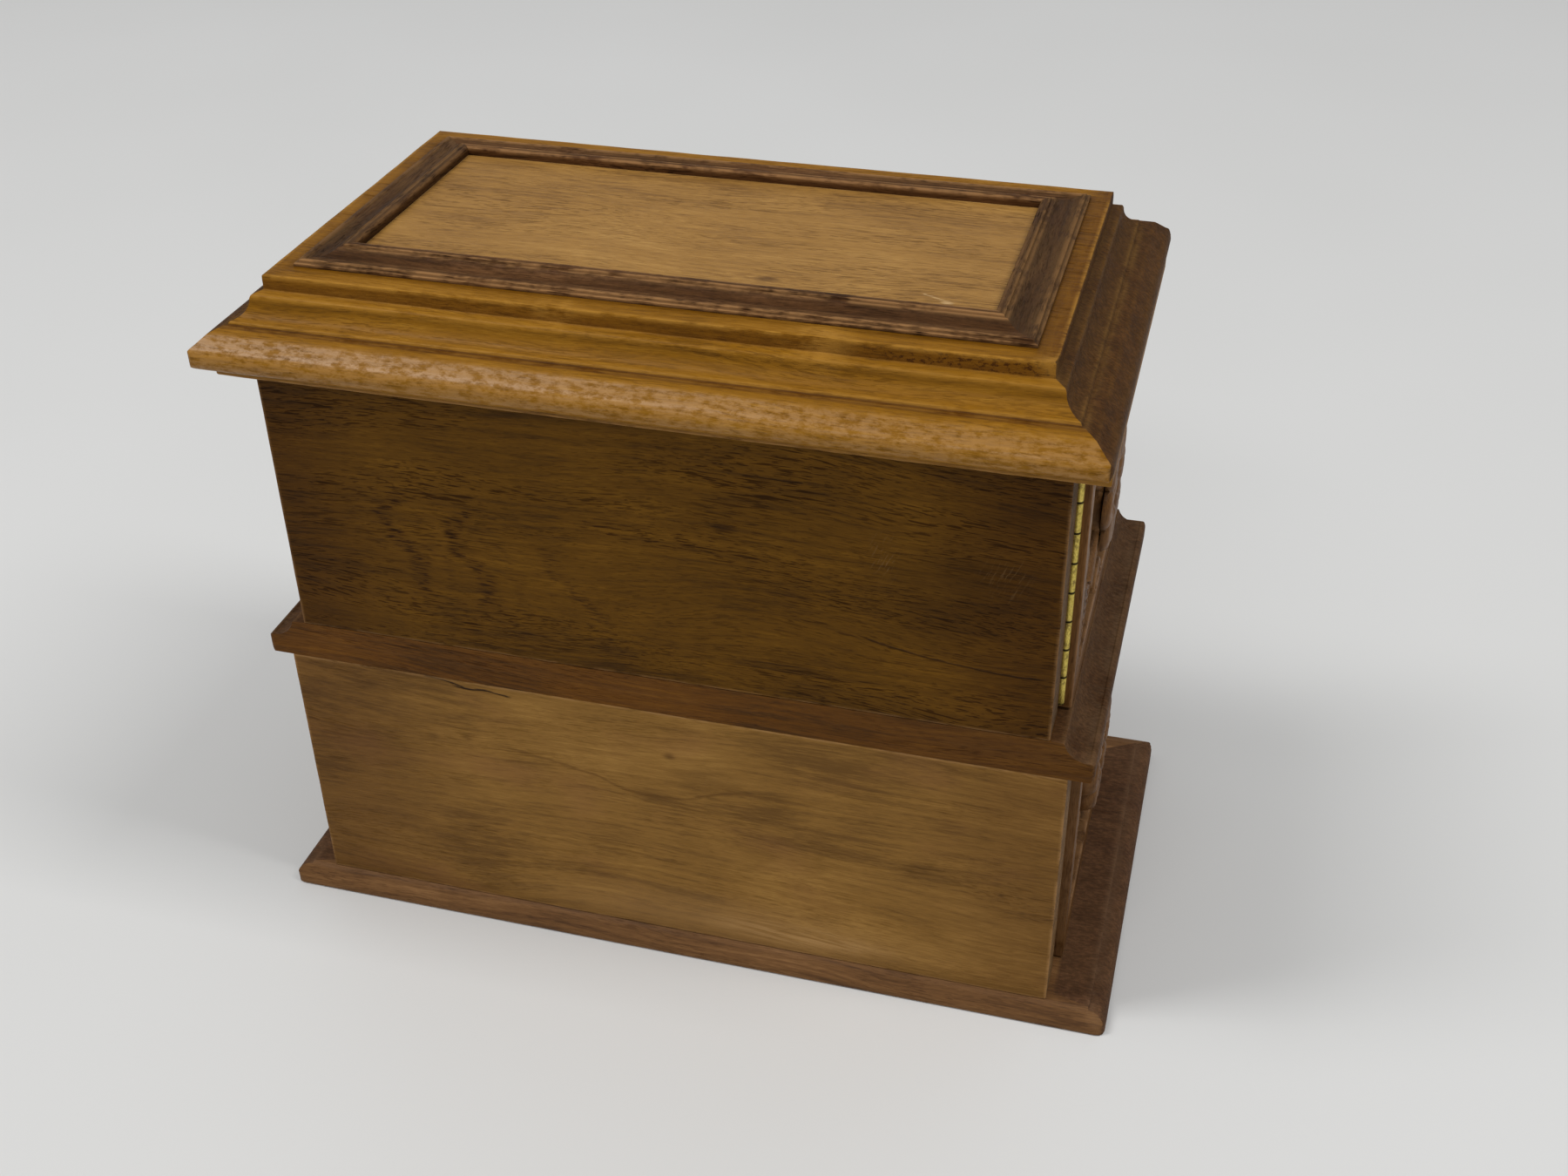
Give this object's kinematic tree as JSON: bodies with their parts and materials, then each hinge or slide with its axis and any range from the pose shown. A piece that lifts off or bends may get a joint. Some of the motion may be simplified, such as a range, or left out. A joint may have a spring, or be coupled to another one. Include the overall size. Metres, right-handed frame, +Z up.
{
  "type": "wooden puzzle box",
  "caption": "Two-tier moulded wooden cabinet box with carved end doors on piano hinges, end drawers, turning rosette catches and hidden sliding drawer keys.",
  "frame": {"origin": "middle of the footprint, on the surface the box stands on", "axes": "front towards -Y, +Z up, +X along the long side to the viewer's right when facing the front"},
  "size_m": [0.2272, 0.126, 0.186],
  "materials": {
    "walnut": "satin varnish, dusty on end grain",
    "light_walnut": "worn satin varnish",
    "lid_walnut": "glossy honey varnish",
    "dark_walnut": "satin varnish",
    "pale_panel": "dull waxed",
    "carved_walnut": "satin varnish",
    "inner_wood": "bare wood",
    "brass": "aged, dull",
    "steel": "dull",
    "felt": "wool felt"
  },
  "bodies": {
    "case": {"base_board": "walnut", "base_screws": "steel", "lower_back_board": "light_walnut", "lower_front_board": "walnut", "lower_partition": "inner_wood", "lower_front_fret": "carved_walnut", "mid_board": "walnut", "upper_back_board": "walnut", "upper_front_board": "walnut", "upper_partition": "inner_wood", "upper_front_fret": "carved_walnut", "front_rosettes": "carved_walnut", "shelf_left": "inner_wood", "shelf_right": "inner_wood", "top_board": "walnut", "lid_board": "lid_walnut", "lid_frame_back": "dark_walnut", "lid_frame_front": "dark_walnut", "lid_frame_left": "dark_walnut", "lid_frame_right": "dark_walnut", "lid_panel": "pale_panel", "drawer_stop_pins": "brass", "hinge_case_nails": "brass", "hinge_left_case_leaf": "brass", "hinge_left_pin": "brass", "hinge_right_case_leaf": "brass", "hinge_right_pin": "brass"},
    "door_left": {"door_left_stiles": "carved_walnut", "door_left_rails": "carved_walnut", "door_left_fret": "carved_walnut", "hinge_left_door_leaf": "brass", "hinge_left_door_nails": "brass"},
    "catch_left": {"door_left_rosette": "carved_walnut", "door_left_catch": "inner_wood"},
    "drawer_left": {"drawer_left_front": "inner_wood", "drawer_left_fret": "carved_walnut", "drawer_left_rosette": "carved_walnut", "drawer_left_sides": "inner_wood", "drawer_left_back": "inner_wood", "drawer_left_bottom": "inner_wood", "drawer_left_felt": "felt"},
    "key_left": {"drawer_key_left": "inner_wood"},
    "door_right": {"door_right_stiles": "carved_walnut", "door_right_rails": "carved_walnut", "door_right_fret": "carved_walnut", "hinge_right_door_leaf": "brass", "hinge_right_door_nails": "brass"},
    "catch_right": {"door_right_rosette": "carved_walnut", "door_right_catch": "inner_wood"},
    "drawer_right": {"drawer_right_front": "inner_wood", "drawer_right_fret": "carved_walnut", "drawer_right_rosette": "carved_walnut", "drawer_right_sides": "inner_wood", "drawer_right_back": "inner_wood", "drawer_right_bottom": "inner_wood", "drawer_right_felt": "felt"},
    "key_right": {"drawer_key_right": "inner_wood"}
  },
  "joints": [
    {"name": "door_left_hinge", "type": "hinge", "parent": "case", "child": "door_left", "pos_m": [-0.0932, 0.04125, 0.1252], "axis": [0, 0, -1], "range_deg": [0, 100]},
    {"name": "catch_left_turn", "type": "hinge", "parent": "door_left", "child": "catch_left", "pos_m": [-0.0918, -0.00575, 0.1252], "axis": [1, 0, 0], "range_deg": [0, 90]},
    {"name": "drawer_left_slide", "type": "slide", "parent": "case", "child": "drawer_left", "axis": [-1, 0, 0], "range_m": [0, 0.068]},
    {"name": "key_left_slide", "type": "slide", "parent": "case", "child": "key_left", "axis": [0, 1, 0], "range_m": [0, 0.008]},
    {"name": "door_right_hinge", "type": "hinge", "parent": "case", "child": "door_right", "pos_m": [0.0976, 0.04125, 0.1252], "axis": [0, 0, 1], "range_deg": [0, 100]},
    {"name": "catch_right_turn", "type": "hinge", "parent": "door_right", "child": "catch_right", "pos_m": [0.0962, -0.00575, 0.1252], "axis": [1, 0, 0], "range_deg": [0, 90]},
    {"name": "drawer_right_slide", "type": "slide", "parent": "case", "child": "drawer_right", "axis": [1, 0, 0], "range_m": [0, 0.068]},
    {"name": "key_right_slide", "type": "slide", "parent": "case", "child": "key_right", "axis": [0, 1, 0], "range_m": [0, 0.008]}
  ]
}
